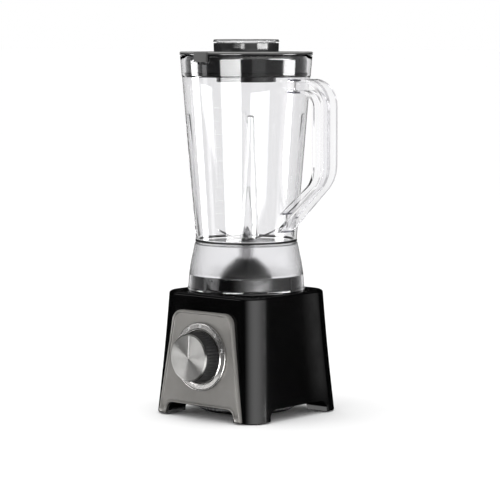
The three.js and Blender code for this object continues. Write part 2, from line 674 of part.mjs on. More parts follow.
function lidSeal() {
  const { plug, plugLow } = LID;
  return ring(plug - 0.4, plug + 1, plugLow + 0.4, plugLow + 3.9, ROUND.large);
}

function measuringCap() {
  const { cup, cupLow, disc, discLow, top, wall } = CAP;
  return turned([
    [0, top - wall], [cup - wall, top - wall], [cup - 1 - wall, cupLow], [cup - 1, cupLow],
    [cup, LID.neckTop + GAP], [30, LID.neckTop + GAP], [30, discLow], [disc, discLow], [disc, top - 0.8],
    [disc - 0.8, top], [0, top],
  ], ROUND.large);
}

// ---- The whole blender ----

const blender = new THREE.Group();
const placed = new THREE.Group();
placed.position.set(AXIS.x, AXIS.y, 0);
blender.add(placed);
const [base, rotor, knob, jarGroup, blades, lidGroup, capGroup] = Array.from({ length: 7 }, () => {
  const group = new THREE.Group();
  placed.add(group);
  return group;
});

piece(base, 'base_housing', baseHousing(), GLOSS_BLACK);
piece(base, 'control_panel', controlPanel(), SATIN_GREY);
piece(base, 'bottom_plate', bottomPlate(), BLACK_PLASTIC);
dial(knob, base);
fasteners(base);
motor(base, rotor);
piece(base, 'field_coil_front', fieldCoil(-1), COPPER);
piece(base, 'field_coil_back', fieldCoil(1), COPPER);
piece(base, 'cord_gland', cordGland(), BLACK_RUBBER);
piece(base, 'safety_switch', interlock(), BLACK_PLASTIC);
jarParts(jarGroup);
bladeSet(blades);
piece(lidGroup, 'lid', lid(), GLOSS_BLACK);
piece(lidGroup, 'lid_seal', lidSeal(), BLACK_RUBBER);
piece(capGroup, 'measuring_cap', measuringCap(), CLEAR);

export default blender;
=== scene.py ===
"""The looks of the countertop blender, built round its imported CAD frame. Metres, +Z up, dial towards -Y."""
import json
import math

import bmesh
import bpy
from mathutils import Matrix, Vector


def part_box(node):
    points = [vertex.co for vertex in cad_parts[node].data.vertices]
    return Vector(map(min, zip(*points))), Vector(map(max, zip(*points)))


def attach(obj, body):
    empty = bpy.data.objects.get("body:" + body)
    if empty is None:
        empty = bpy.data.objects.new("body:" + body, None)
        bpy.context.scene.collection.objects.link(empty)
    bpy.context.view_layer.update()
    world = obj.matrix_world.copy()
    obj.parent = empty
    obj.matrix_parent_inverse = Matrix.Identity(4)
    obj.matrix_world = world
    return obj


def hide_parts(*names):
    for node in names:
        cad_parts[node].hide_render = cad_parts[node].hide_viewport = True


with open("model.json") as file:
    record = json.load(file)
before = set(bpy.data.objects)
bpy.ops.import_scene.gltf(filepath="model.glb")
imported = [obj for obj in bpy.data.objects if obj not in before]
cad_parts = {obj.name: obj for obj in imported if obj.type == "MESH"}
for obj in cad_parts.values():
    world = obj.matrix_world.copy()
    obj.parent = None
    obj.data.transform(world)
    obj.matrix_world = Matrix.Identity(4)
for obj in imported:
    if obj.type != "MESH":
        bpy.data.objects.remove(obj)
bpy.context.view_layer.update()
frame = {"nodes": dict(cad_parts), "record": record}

MM = 0.001
NODES = frame["nodes"]


# ---- Places from the frame ----

def middle(node):
    low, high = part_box(node)
    return (low + high) / 2


AXIS = Vector((middle("jar_gasket").x, middle("jar_gasket").y, 0))


def low_mm(node):
    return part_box(node)[0].z / MM


def high_mm(node):
    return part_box(node)[1].z / MM


def radius_mm(node):
    low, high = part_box(node)
    return (high.x - low.x) / 2 / MM


# Driving dimensions, millimetres from the jar's axis.
BASE_HALF = radius_mm("base_housing")
BASE_LOW = low_mm("base_housing")
BOSS_TOP = high_mm("base_housing")
SHOULDER = 122  # the walls end here and the rounding up to the top begins
BASE_TOP = 125
TOP_HALF = 62.63
STEEP_FROM = 30  # the walls lean in evenly up to here, then stand up on a slight curve
STEEPENING = 0.000135
CORNER = 22.5
BULGE = 1.3  # degrees by which each side's ends turn away from its middle
WALL = 2.6
HUB_BORE = 3.35
ARCH_HALF = 45
ARCH_HIGH = 13
ARCH_ROUND = 9
PANEL_AT_FLOOR = 73.4
PANEL_TILT = 0.043
DIAL_Z = 63
JAR_WALL = 2.7
RIM_Z = high_mm("jar")
JAR_LOW = low_mm("jar")
CAP_TOP = high_mm("measuring_cap")
COLLAR_LOW = low_mm("jar_collar")
FLOOR_TOP = high_mm("jar_collar")


# ---- Mesh helpers ----

def link(obj):
    bpy.context.scene.collection.objects.link(obj)
    return obj


def smooth(mesh, angle=35):
    mesh.shade_smooth()
    mesh.set_sharp_from_angle(angle=math.radians(angle))


def mesh_object(name, verts, faces, material=None, angle=35):
    mesh = bpy.data.meshes.new(name)
    mesh.from_pydata([tuple(v) for v in verts], [], faces)
    mesh.validate()
    bm = bmesh.new()
    bm.from_mesh(mesh)
    bmesh.ops.remove_doubles(bm, verts=bm.verts, dist=1e-7)
    bmesh.ops.recalc_face_normals(bm, faces=bm.faces)
    bm.to_mesh(mesh)
    bm.free()
    smooth(mesh, angle)
    if material:
        mesh.materials.append(material)
    return link(bpy.data.objects.new(name, mesh))


def bake_modifiers(obj):
    """Replaces the object's mesh by what its modifiers make of it."""
    graph = bpy.context.evaluated_depsgraph_get()
    made = bpy.data.meshes.new_from_object(obj.evaluated_get(graph))
    obj.modifiers.clear()
    obj.data = made
    return obj


def combine(target, tool, operation="DIFFERENCE"):
    modifier = target.modifiers.new("combine", "BOOLEAN")
    modifier.object = tool
    modifier.operation = operation
    modifier.solver = "EXACT"
    bake_modifiers(target)
    bpy.data.objects.remove(tool)
    return target


def rounded_edges(obj, width_mm, segments=3, angle=35):
    """Rounds the sharp edges and keeps the big faces flat in shading."""
    bevel = obj.modifiers.new("bevel", "BEVEL")
    bevel.width = width_mm * MM
    bevel.segments = segments
    bevel.limit_method = "ANGLE"
    bevel.angle_limit = math.radians(angle)
    bevel.harden_normals = False
    bevel.miter_outer = "MITER_ARC"
    bake_modifiers(obj)
    smooth(obj.data, 30)
    weighted = obj.modifiers.new("weighted", "WEIGHTED_NORMAL")
    weighted.keep_sharp = True
    weighted.weight = 60
    return bake_modifiers(obj)


def fillet(profile, steps=5, closed=True):
    """A profile of (radius, height, round) with each corner turned into an arc of that round."""
    out = []
    n = len(profile)
    for i, (r, z, *rest) in enumerate(profile):
        size = rest[0] if rest else 0
        end = not closed and i in (0, n - 1)
        if size <= 0 or end:
            out.append((r, z))
            continue
        here = Vector((r, z))
        before = Vector(profile[i - 1][:2]) - here
        after = Vector(profile[(i + 1) % n][:2]) - here
        reach = min(size, before.length * 0.49, after.length * 0.49)
        start = here + before.normalized() * reach
        finish = here + after.normalized() * reach
        for k in range(steps + 1):
            t = k / steps
            point = start * (1 - t) ** 2 + here * 2 * t * (1 - t) + finish * t ** 2
            out.append((point.x, point.y))
    return out


def lathe(name, profile, material, segments=144, steps=5, place=None, wobble=None):
    """Turns a profile of (radius, height, round) in millimetres round Z, in even steps or at given angles.
    place moves each point, given in metres from the jar's axis.
    wobble changes a radius at an angle and a height."""
    even = not isinstance(segments, list)
    angles = [2 * math.pi * k / segments for k in range(segments)] if even else segments
    segments = len(angles)
    on_axis = profile[0][0] == 0 and profile[-1][0] == 0
    points = fillet(profile, steps, closed=not on_axis)
    verts = []
    rings = []
    for r, z in points:
        if r <= 1e-6:
            rings.append([len(verts)] * segments)
            verts.append(Vector((0, 0, z * MM)))
            continue
        rings.append(list(range(len(verts), len(verts) + segments)))
        for a in angles:
            there = wobble(r, a, z) if wobble else r
            verts.append(Vector((there * math.cos(a) * MM, there * math.sin(a) * MM, z * MM)))
    faces = []
    pairs = list(zip(rings, rings[1:]))
    if not on_axis:
        pairs.append((rings[-1], rings[0]))
    for lower, upper in pairs:
        for k in range(segments):
            m = (k + 1) % segments
            loop = [lower[k], lower[m], upper[m], upper[k]]
            face = list(dict.fromkeys(loop))
            if len(face) > 2:
                faces.append(face)
    move = place or (lambda v: v + AXIS)
    return mesh_object(name, [move(v) for v in verts], faces, material)


def round_bar(name, r, low, high, segments=48, place=None):
    """A plain round bar for cutting, in millimetres, on the jar's axis unless place moves it."""
    return lathe(name, [(0, low), (r, low), (r, high), (0, high)], None, segments, place=place)


def skin(name, loops, material=None, angle=35):
    """A closed mesh over loops with the same number of points, capped at the first and the last one."""
    n = len(loops[0])
    last = (len(loops) - 1) * n
    faces = [list(range(n))[::-1], list(range(last, last + n))]
    for i in range(0, last, n):
        for k in range(n):
            m = (k + 1) % n
            faces.append([i + k, i + m, i + n + m, i + n + k])
    return mesh_object(name, [v for loop in loops for v in loop], faces, material, angle)


def extruded(name, outline, low, high, to_world, material=None, angle=35):
    """A prism of an outline of (u, v) in millimetres between two depths, placed by to_world(u, v, depth)."""
    loops = [[to_world(u, v, depth) for u, v in outline] for depth in (low, high)]
    return skin(name, loops, material, angle)


def arc(cx, cy, r, start, end, steps=10):
    """Points on an arc, in degrees from start to end."""
    out = []
    for k in range(steps + 1):
        a = math.radians(start + (end - start) * k / steps)
        out.append((cx + r * math.cos(a), cy + r * math.sin(a)))
    return out


def box_object(name, size, centre, turn=0):
    """A plain box for cutting, in millimetres from the axis, turned about the axis by degrees."""
    bm = bmesh.new()
    bmesh.ops.create_cube(bm, size=1)
    bmesh.ops.scale(bm, vec=Vector(size) * MM, verts=bm.verts)
    bmesh.ops.translate(bm, vec=Vector(centre) * MM, verts=bm.verts)
    bmesh.ops.rotate(bm, cent=(0, 0, 0), matrix=Matrix.Rotation(math.radians(turn), 3, "Z"), verts=bm.verts)
    bmesh.ops.translate(bm, vec=AXIS, verts=bm.verts)
    mesh = bpy.data.meshes.new(name)
    bm.to_mesh(mesh)
    bm.free()
    return link(bpy.data.objects.new(name, mesh))


def on_axis(x, y, z):
    return AXIS + Vector((x, y, z)) * MM


def on_panel(v):
    """A point built along Z, in metres, stood on the panel at the dial's centre and pointing out of it."""
    lean = math.atan(PANEL_TILT)
    turned = Matrix.Rotation(math.pi / 2 - lean, 3, "X") @ v
    return turned + on_axis(0, -(PANEL_AT_FLOOR - PANEL_TILT * DIAL_Z), DIAL_Z)


# ---- Materials ----

class Material:
    """A node material round one Principled shader."""

    def __init__(self, name, color=(0.5, 0.5, 0.5), roughness=0.4, metallic=0.0):
        self.data = bpy.data.materials.new(name)
        self.data.use_nodes = True
        self.tree = self.data.node_tree
        self.shader = self.tree.nodes["Principled BSDF"]
        self.set("Base Color", (*color, 1))
        self.set("Roughness", roughness)
        self.set("Metallic", metallic)

    def set(self, socket, value):
        self.shader.inputs[socket].default_value = value

    def node(self, kind, **values):
        made = self.tree.nodes.new("ShaderNode" + kind)
        for key, value in values.items():
            setattr(made, key, value)
        return made

    def join(self, a, out, b, into):
        self.tree.links.new(a.outputs[out], b.inputs[into])

    def noise(self, scale, detail=3, stretch=None):
        place = self.node("TexCoord")
        noise = self.node("TexNoise")
        noise.inputs["Scale"].default_value = scale
        noise.inputs["Detail"].default_value = detail
        if stretch:
            mapping = self.node("Mapping")
            mapping.inputs["Scale"].default_value = stretch
            self.join(place, "Object", mapping, "Vector")
            self.join(mapping, "Vector", noise, "Vector")
        else:
            self.join(place, "Object", noise, "Vector")
        return noise

    def spread(self, source, out, low, high, into):
        """Sends a 0 to 1 value, spread between two values, into a shader socket."""
        spread = self.node("MapRange")
        spread.inputs["From Min"].default_value = 0.3
        spread.inputs["From Max"].default_value = 0.7
        spread.inputs["To Min"].default_value = low
        spread.inputs["To Max"].default_value = high
        self.join(source, out, spread, "Value")
        self.tree.links.new(spread.outputs["Result"], self.shader.inputs[into])
        return spread

    def tint(self, source, out, dark, light):
        """A colour that wanders between two close tones."""
        ramp = self.node("ValToRGB")
        ramp.color_ramp.elements[0].position = 0.3
        ramp.color_ramp.elements[1].position = 0.7
        ramp.color_ramp.elements[0].color = (*dark, 1)
        ramp.color_ramp.elements[1].color = (*light, 1)
        self.join(source, out, ramp, "Fac")
        self.tree.links.new(ramp.outputs["Color"], self.shader.inputs["Base Color"])

    def bump(self, source, out, strength, distance_mm):
        bump = self.node("Bump")
        bump.inputs["Strength"].default_value = strength
        bump.inputs["Distance"].default_value = distance_mm * MM
        self.join(source, out, bump, "Height")
        self.tree.links.new(bump.outputs["Normal"], self.shader.inputs["Normal"])


def gloss_black():
    m = Material("gloss_black", roughness=0.1)
    wide = m.noise(28, 2)
    m.tint(wide, "Fac", (0.0014, 0.0014, 0.0015), (0.0024, 0.0024, 0.0026))
    m.spread(m.noise(90, 4), "Fac", 0.05, 0.09, "Roughness")
    m.bump(m.noise(240, 2), "Fac", 0.03, 0.04)
    return m.data


def lid_black():
    m = Material("lid_black", roughness=0.12)
    m.tint(m.noise(30, 2), "Fac", (0.030, 0.030, 0.031), (0.038, 0.038, 0.039))
    m.spread(m.noise(120, 4), "Fac", 0.08, 0.15, "Roughness")
    m.bump(m.noise(260, 2), "Fac", 0.05, 0.04)
    return m.data


def lid_grey(name, tone):
    """The lid's silky greys: the tab's own colour, and a lighter ring that paints a highlight along the rim's
    top edge.
    """
    m = Material(name, roughness=0.35)
    m.tint(m.noise(30, 2), "Fac", (tone, tone, tone * 0.98), (tone * 1.4, tone * 1.4, tone * 1.37))
    m.spread(m.noise(200, 3), "Fac", 0.3, 0.4, "Roughness")
    return m.data


def satin_grey():
    m = Material("satin_grey", metallic=0.35, roughness=0.4)
    m.tint(m.noise(60, 3), "Fac", (0.24, 0.232, 0.22), (0.268, 0.259, 0.246))
    flakes = m.noise(2600, 2)
    m.spread(flakes, "Fac", 0.34, 0.46, "Roughness")
    m.bump(flakes, "Fac", 0.12, 0.03)
    return m.data


def chrome():
    m = Material("chrome", metallic=0.9, roughness=0.25)
    m.tint(m.noise(50, 2), "Fac", (0.42, 0.41, 0.40), (0.50, 0.49, 0.48))
    m.spread(m.noise(400, 3), "Fac", 0.2, 0.28, "Roughness")
    return m.data


def spun_aluminium():
    """Concentric lathe marks: anisotropic, with the tangent running round the knob's axis."""
    m = Material("spun_aluminium", metallic=1.0)
    m.set("Anisotropic", 0.9)
    m.tint(m.noise(70, 2), "Fac", (0.39, 0.385, 0.375), (0.45, 0.445, 0.435))
    tangent = m.node("Tangent", direction_type="RADIAL", axis="Y")
    m.join(tangent, "Tangent", m.shader, "Tangent")
    m.set("Anisotropic Rotation", 0.25)
    m.spread(m.noise(900, 2), "Fac", 0.42, 0.5, "Roughness")
    return m.data


def bright_metal():
    m = Material("bright_metal", metallic=0.5)
    m.tint(m.noise(60, 2), "Fac", (0.72, 0.71, 0.70), (0.80, 0.79, 0.78))
    m.spread(m.noise(500, 3), "Fac", 0.25, 0.35, "Roughness")
    return m.data


def black_plastic():
    m = Material("black_plastic")
    m.tint(m.noise(80, 2), "Fac", (0.014, 0.014, 0.0145), (0.022, 0.022, 0.0225))
    grain = m.noise(1500, 3)
    m.spread(grain, "Fac", 0.42, 0.55, "Roughness")
    m.bump(grain, "Fac", 0.25, 0.05)
    return m.data


def rubber():
    m = Material("rubber")
    m.tint(m.noise(90, 3), "Fac", (0.010, 0.010, 0.010), (0.02, 0.02, 0.02))
    grain = m.noise(1100, 4)
    m.spread(grain, "Fac", 0.6, 0.8, "Roughness")
    m.bump(grain, "Fac", 0.3, 0.08)
    return m.data


def mark_white():
    m = Material("mark_white", roughness=0.5)
    m.tint(m.noise(300, 2), "Fac", (0.80, 0.80, 0.81), (0.88, 0.88, 0.89))
    m.spread(m.noise(500, 2), "Fac", 0.4, 0.55, "Roughness")
    return m.data


def ground_steel():
    m = Material("steel", metallic=1.0)
    grain = m.noise(1, 3, (30, 900, 900))
    m.tint(grain, "Fac", (0.45, 0.45, 0.46), (0.60, 0.60, 0.61))
    m.spread(grain, "Fac", 0.18, 0.32, "Roughness")
    m.bump(grain, "Fac", 0.15, 0.02)
    return m.data


def glass(name, tone, ior):
    m = Material(name, color=tone)
    m.set("Transmission Weight", 1.0)
    m.set("IOR", ior)
    return m


def clear_plastic(name, tone, ior=1.5):
    m = glass(name, tone, ior)
    m.spread(m.noise(35, 2), "Fac", 0.0, 0.02, "Roughness")
    return m.data


def frosted_clear():
    """Clear at the skirt's lower band, frosted inside above it."""
    m = glass("frosted_clear", (0.975, 0.973, 0.985), 1.45)
    place = m.node("TexCoord")
    split = m.node("SeparateXYZ")
    m.join(place, "Object", split, "Vector")
    height = m.node("MapRange")
    height.inputs["From Min"].default_value = (BOSS_TOP - 1) * MM
    height.inputs["From Max"].default_value = (BOSS_TOP + 3) * MM
    height.inputs["To Min"].default_value = 0.02
    height.inputs["To Max"].default_value = 0.22
    m.join(split, "Z", height, "Value")
    m.tree.links.new(height.outputs["Result"], m.shader.inputs["Roughness"])
    return m.data


def copper():
    m = Material("copper", metallic=1.0)
    wire = m.noise(1, 2, (60, 60, 2600))
    m.tint(wire, "Fac", (0.40, 0.16, 0.07), (0.62, 0.30, 0.15))
    m.spread(wire, "Fac", 0.25, 0.4, "Roughness")
    m.bump(wire, "Fac", 0.5, 0.1)
    return m.data


def lamination():
    m = Material("lamination", metallic=0.8)
    sheets = m.noise(1, 1, (40, 40, 3000))
    m.tint(sheets, "Fac", (0.10, 0.105, 0.11), (0.2, 0.205, 0.21))
    m.spread(sheets, "Fac", 0.4, 0.6, "Roughness")
    m.bump(sheets, "Fac", 0.5, 0.08)
    return m.data


def carbon():
    m = Material("carbon")
    m.tint(m.noise(900, 3), "Fac", (0.018, 0.018, 0.02), (0.035, 0.035, 0.037))
    m.spread(m.noise(700, 3), "Fac", 0.6, 0.8, "Roughness")
    return m.data


MATERIALS = {
    "gloss_black": gloss_black(),
    "lid_black": lid_black(),
    "lid_grey": lid_grey("lid_grey", 0.085),
    # A lighter grey for the ring on the lid's rim edge: a painted highlight.
    "lid_rim_painted_highlight": lid_grey("lid_rim_painted_highlight", 0.2),
    "satin_grey": satin_grey(),
    "chrome": chrome(),
    "spun_aluminium": spun_aluminium(),
    "bright_metal": bright_metal(),
    "mark_white": mark_white(),
    "black_plastic": black_plastic(),
    "rubber": rubber(),
    "steel": ground_steel(),
    "clear_jar": clear_plastic("clear_jar", (0.951, 0.949, 0.957)),
    # A softer glass for the handle and the cap, whose many edges would otherwise turn grey.
    "handle_plastic": clear_plastic("handle_plastic", (0.972, 0.970, 0.978), 1.24),
    "smoky_clear": clear_plastic("smoky_clear", (0.25, 0.25, 0.29)),
    "frosted_clear": frosted_clear(),
    "copper": copper(),
    "lamination": lamination(),
    "carbon": carbon(),
}


def declare(piece, body, slot, *nodes):
    """Rides a piece on its body and hides the CAD nodes that it stands for. The slot is not used."""
    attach(piece, body)
    if nodes:
        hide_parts(*nodes)
    return piece


# ---- Base ----

def rounded_square(half, corner, steps=14):
    """Points round a square with round corners, its sides bulging by a degree or two of a very wide arc."""
    lean = math.radians(BULGE)
    wide = (half - corner * (math.cos(lean) - math.sin(lean))) / (1 - math.cos(lean) + math.sin(lean))
    centre = (wide - corner) * math.sin(lean)
    out = []
    for quarter in range(4):
        turn = math.radians(90 * quarter)
        side = arc(half - wide, 0, wide, -BULGE, BULGE, 12)[:-1]
        turned = arc(centre, centre, corner, BULGE, 90 - BULGE, steps)[:-1]
        for x, y in side + turned:
            out.append((x * math.cos(turn) - y * math.sin(turn), x * math.sin(turn) + y * math.cos(turn)))
    return out


def base_half(z):
    """Half the base's width at a height: leaning walls that stand up slightly, then a round edge."""
    inside_cad = 0.1
    if z <= SHOULDER:
        curve = STEEPENING * max(0, z - STEEP_FROM) ** 2
        lean = (BASE_HALF - TOP_HALF + STEEPENING * (SHOULDER - STEEP_FROM) ** 2) / SHOULDER
        return BASE_HALF - inside_cad - lean * z + curve
    edge = BASE_TOP - SHOULDER
    up = min(1, (z - SHOULDER) / edge)
    return TOP_HALF - inside_cad - edge * (1 - math.sqrt(1 - up * up))


def loft(name, levels, half_at, corner, material=None):
    """A closed block through rounded squares at each level."""
    loops = [[on_axis(x, y, z) for x, y in rounded_square(half_at(z), corner)] for z in levels]
    return skin(name, loops, material)


def arch_block(grow, along):
    """A block through the whole base that cuts the arch between the feet on two opposite sides."""
    half = ARCH_HALF + grow
    side = half - 1 - ARCH_ROUND
    high = ARCH_HIGH + grow - ARCH_ROUND
    outline = [(-half, -10), (half, -10)] + arc(side, high, ARCH_ROUND, 0, 90)
    outline += arc(-side, high, ARCH_ROUND, 90, 180)

    def place(u, v, depth):
        return on_axis(u, depth, v) if along == "Y" else on_axis(depth, u, v)

    return extruded("arch", outline, -100, 100, place)


def base_housing():
    rise = [SHOULDER + (BASE_TOP - SHOULDER) * math.sin(math.radians(a)) for a in range(0, 91, 10)]
    levels = [BASE_LOW + (SHOULDER - BASE_LOW) * k / 14 for k in range(14)] + rise
    shell = loft("housing_shell", levels, base_half, CORNER, MATERIALS["gloss_black"])
    heights = [4, 60, BASE_TOP - WALL]
    core = loft("core", heights, lambda z: base_half(min(z, SHOULDER)) - WALL, CORNER - WALL)
    for along in "XY":
        combine(core, arch_block(WALL, along))
    combine(shell, core)
    for along in "XY":
        combine(shell, arch_block(0, along))
    combine(shell, round_bar("drum_hole", 51, 5, 30, 96))
    combine(shell, round_bar("plate_seat", 60.35, 5, 13, 96))
    combine(shell, round_bar("well_hole", 46, 110, 130, 96))
    shell = rounded_edges(shell, 0.9, 3, 40)
    return declare(shell, "base", "gloss_black", "base_housing")


def base_boss():
    """The raised ring that the jar's skirt drops over, with the coupling well in it."""
    piece = lathe("base_boss", [
        (17, 128.6, 0.4), (51.9, 128.6, 0.5), (51.9, 123.5), (57.2, 123.5), (57.2, 125), (57.14, 126),
        (56.2, 139.6), (56.1, BOSS_TOP, 0.8), (52, BOSS_TOP, 1.0), (52, 131, 1.0), (19, 131, 0.8),
        (17, 130, 0.6),
    ], MATERIALS["gloss_black"], 160)
    return declare(piece, "base", "gloss_black", "base_housing")


def panel_ring(inset, depth_at, steps=9):
    """The control panel's outline pulled in by an inset, each point at its own depth from the axis."""
    low = BASE_LOW + 0.6 + inset * 2.2
    bend_z = 96
    side_top = bend_z - 2
    foot = 55 - inset
    top = 40 - inset
    side = top + 0.12
    r = 12 - inset
    legs = ARCH_HALF + 2 + inset * 0.5
    arch_r, arch_side = 9, legs - 10
    arch_top = ARCH_HIGH + 0.6 + inset * 0.7
    between = [k / 6 for k in range(1, 6)]
    points = [(legs, low), (foot, low)]
    points += [(foot + (side - foot) * t, low + (side_top - low) * t) for t in between]
    points += arc(top - r, bend_z, r, 6, 90, steps)
    points += [((top - r) * (1 - 2 * t), bend_z + r) for t in between]
    points += arc(r - top, bend_z, r, 90, 174, steps)
    points += [(-side - (foot - side) * t, side_top - (side_top - low) * t) for t in between]
    points += [(-foot, low), (-legs, low)]
    points += arc(-arch_side, arch_top - arch_r, arch_r, 176, 90, steps)
    points += [(arch_side * (2 * t - 1), arch_top) for t in between]
    points += arc(arch_side, arch_top - arch_r, arch_r, 90, 4, steps)
    return [on_axis(x, -depth_at(z), z) for x, z in points]


def panel_front(z):
    return PANEL_AT_FLOOR - PANEL_TILT * z


def control_panel():
    """A plate with a raised border: rings of (inset, how far each lies behind the plate's front)."""
    border = [(0, 1.5), (0.25, 0.75), (0.8, 0.2), (1.5, 0), (2.1, 0.12), (2.6, 0.8), (2.9, 1.45), (3.3, 1.75),
              (4.2, 1.85)]
    rings = [panel_ring(0.3, lambda z: base_half(z) - 2.2)]
    rings += [panel_ring(inset, lambda z: panel_front(z) - behind) for inset, behind in border]
    panel = skin("control_panel_face", rings, MATERIALS["satin_grey"], 50)
    combine(panel, round_bar("spindle_hole", 6, -20, 10, place=on_panel))
    smooth(panel.data, 50)
    return declare(panel, "base", "satin_grey", "control_panel")


def dial_bezel():
    ring = lathe("dial_ring", [
        (26.6, -2.2), (34.2, -2.2), (34.2, 0.5, 0.3), (33.5, 1.1, 0.4), (32.6, 0.75, 0.4), (28.4, 1.0, 0.6),
        (27.6, 1.6, 0.4), (26.6, 1.3, 0.4),
    ], MATERIALS["chrome"], 144, place=on_panel)
    declare(ring, "base", "chrome", "dial_bezel")
    size, circle, lift = 5.2 * MM, 30.5 * MM, 0.92 * MM
    for text, turn in {"P": -30, "0": 0, "1": 42, "2": 74}.items():
        curve = bpy.data.curves.new("mark_" + text, "FONT")
        curve.body = text
        curve.size = size
        curve.extrude = 0.08 * MM
        curve.align_x = "CENTER"
        curve.align_y = "CENTER"
        letter = link(bpy.data.objects.new("mark_" + text, curve))
        bpy.context.view_layer.update()
        graph = bpy.context.evaluated_depsgraph_get()
        mesh = bpy.data.meshes.new_from_object(letter.evaluated_get(graph))
        bpy.data.objects.remove(letter)
        a = math.radians(turn)
        for v in mesh.vertices:
            shift = Vector((circle * math.sin(a), circle * math.cos(a), lift))
            v.co = on_panel(v.co + shift)
        mesh.materials.clear()
        mesh.materials.append(MATERIALS["mark_white"])
        mark = link(bpy.data.objects.new("dial_mark_" + text, mesh))
        declare(mark, "base", "chrome")


def knob():
    ribs = 44

    def outwards(u, v, depth):
        return on_panel(Vector((u, v, depth)) * MM)

    def knurl(r, a, z):
        if r < 23.5 or z < 1.8 or z > 15.2:
            return r
        return r - 0.55 * (0.5 - 0.5 * math.cos(a * ribs)) ** 2

    body = lathe("knob_skirt", [
        (4.2, 1), (7, 1), (7, 12.6), (23.2, 12.6), (23.2, 1), (25.6, 1, 0.5), (25.55, 2.2), (25.3, 4),
        (25.0, 7), (24.6, 11), (24.3, 14.2), (24.0, 15.6, 0.4), (4.2, 15.6),
    ], MATERIALS["black_plastic"], ribs * 8, steps=3, place=on_panel, wobble=knurl)
    declare(body, "knob", "black_plastic", "knob_body")
    grooves = [(22.2 - 0.55 * k, 17.6 if k % 2 else 17.57) for k in range(38)]
    face = lathe("knob_cap", [(0, 15.95), (23.8, 15.95, 0.2), (23.75, 16.5, 0.2), (22.6, 17.55, 0.15)]
                 + grooves + [(0, 17.57)], MATERIALS["spun_aluminium"], 160, steps=3, place=on_panel)
    groove = [(-1.5, 0.2), (1.5, 0.2), (1.5, 30), (-1.5, 30)]
    combine(face, extruded("groove", groove, 16.9, 30, outwards))
    smooth(face.data, 25)
    declare(face, "knob", "spun_aluminium", "knob_face")
    outline = arc(0, 1.3, 0.95, 180, 360, 8) + [(0.95, 22.0), (-0.95, 22.0)]
    pointer = extruded("knob_pointer", outline, 16.92, 17.35, outwards, MATERIALS["bright_metal"])
    rounded_edges(pointer, 0.18, 2)
    declare(pointer, "knob", "chrome")


def bottom_plate():
    """The ribbed drum under the motor, with its cooling slots and screw flange."""
    ribs = 60

    def ribbed(r, a, z):
        if r < 49 or z > 11 or z < 5:
            return r
        return r - 0.35 + 0.35 * math.cos(a * ribs)

    plate = lathe("drum_cover", [
        (0, 3), (45, 3, 1.5), (50, 6, 1.5), (50, 8), (50, 10.2), (60, 10.2, 0.6), (60, 12.6, 0.4),
        (47.6, 12.6), (47.6, 6.6, 1), (44, 5.4, 1), (0, 5.4),
    ], MATERIALS["black_plastic"], ribs * 8, wobble=ribbed)
    for i in range(20):
        combine(plate, box_object("vent", (18, 2.2, 10), (28, 0, 3), i * 18))
    for i in range(4):
        combine(plate, box_object("screw_hole", (4.4, 4.4, 20), (54.45, 0, 10), 45 + 90 * i))
    smooth(plate.data, 30)
    return declare(plate, "base", "black_plastic", "bottom_plate")


def feet_and_screws():
    foot_at, screw_at = 57, 38.5
    foot_profile = [
        (0, 0), (4.5, 0), (5.2, 0.35, 0.2), (7.9, 0.35, 0.2), (8.4, 0, 0.3), (9, 0.5, 0.3), (9, 0.9),
        (3, 0.9), (3, 6, 0.6), (0, 6),
    ]
    screw_profile = [
        (0, 8.2), (2.6, 8.2, 0.6), (3.6, 9.2, 0.4), (3.6, 9.8), (1.7, 9.8), (1.7, 25, 0.5), (0, 26),
    ]
    for i, (sx, sy) in enumerate([(1, 1), (1, -1), (-1, 1), (-1, -1)], 1):
        here = on_axis(sx * foot_at, sy * foot_at, 0)
        foot = lathe(f"foot_pad_{i}", foot_profile, MATERIALS["rubber"], 48, place=lambda v: v + here)
        declare(foot, "base", "rubber", f"foot_{i}")
        here = on_axis(sx * screw_at, sy * screw_at, 0)
        screw = lathe(f"cover_screw_{i}", screw_profile, MATERIALS["steel"], 40, place=lambda v: v + here)
        for size in ((0.8, 4.2, 2.4), (4.2, 0.8, 2.4)):
            combine(screw, box_object("slot", size, (sx * screw_at, sy * screw_at, 8)))
        smooth(screw.data, 30)
        declare(screw, "base", "steel", f"plate_screw_{i}")


def cord_gland():
    def back(v):
        return Matrix.Rotation(-math.pi / 2, 3, "X") @ v + on_axis(0, 0, 30)

    profile = [(2.6, 64), (6, 64), (6, 71.6), (9, 71.6, 0.5), (9, 74.5, 0.8)]
    profile += [(8.2 - 0.35 * (k % 2) - 0.12 * k, 75.2 + 0.8 * k, 0.2) for k in range(6)]
    profile += [(7.2, 79.8, 0.6), (2.6, 79.8, 0.4)]
    gland = lathe("cord_inlet", profile, MATERIALS["rubber"], 64, place=back)
    return declare(gland, "base", "rubber", "cord_gland")


# ---- Jar ----

def jar_radius(z):
    low_r, step_z, step_r, rim_r = 51.8, 342, 65.2, 66.9
    if z <= step_z:
        return low_r + (step_r - low_r) * (z - JAR_LOW) / (step_z - JAR_LOW)
    return step_r + (rim_r - step_r) * (z - step_z) / (RIM_Z - step_z)


def flute_depth(a, z):
    """How far the wall is pressed in: four tongues with a clear edge, narrow and round at their upper end."""
    top, bottom = 304, 178.5
    up = (z - bottom) / (top - bottom)
    if up < 0:
        return 0
    quarter = math.pi / 2
    off = abs((a % quarter) - quarter / 2) * jar_radius(z)
    half = 8.6 - 5.2 * min(up, 1)
    depth = 3.8 - 1.0 * min(up, 1)
    over = max(0, z - (top - 1.6)) / 1.8
    lens = (off / half) ** 2 + over * over
    if lens >= 1:
        return 0
    fade = min(1, (z - bottom) / 3)
    return depth * fade * (1 - lens) ** 0.55


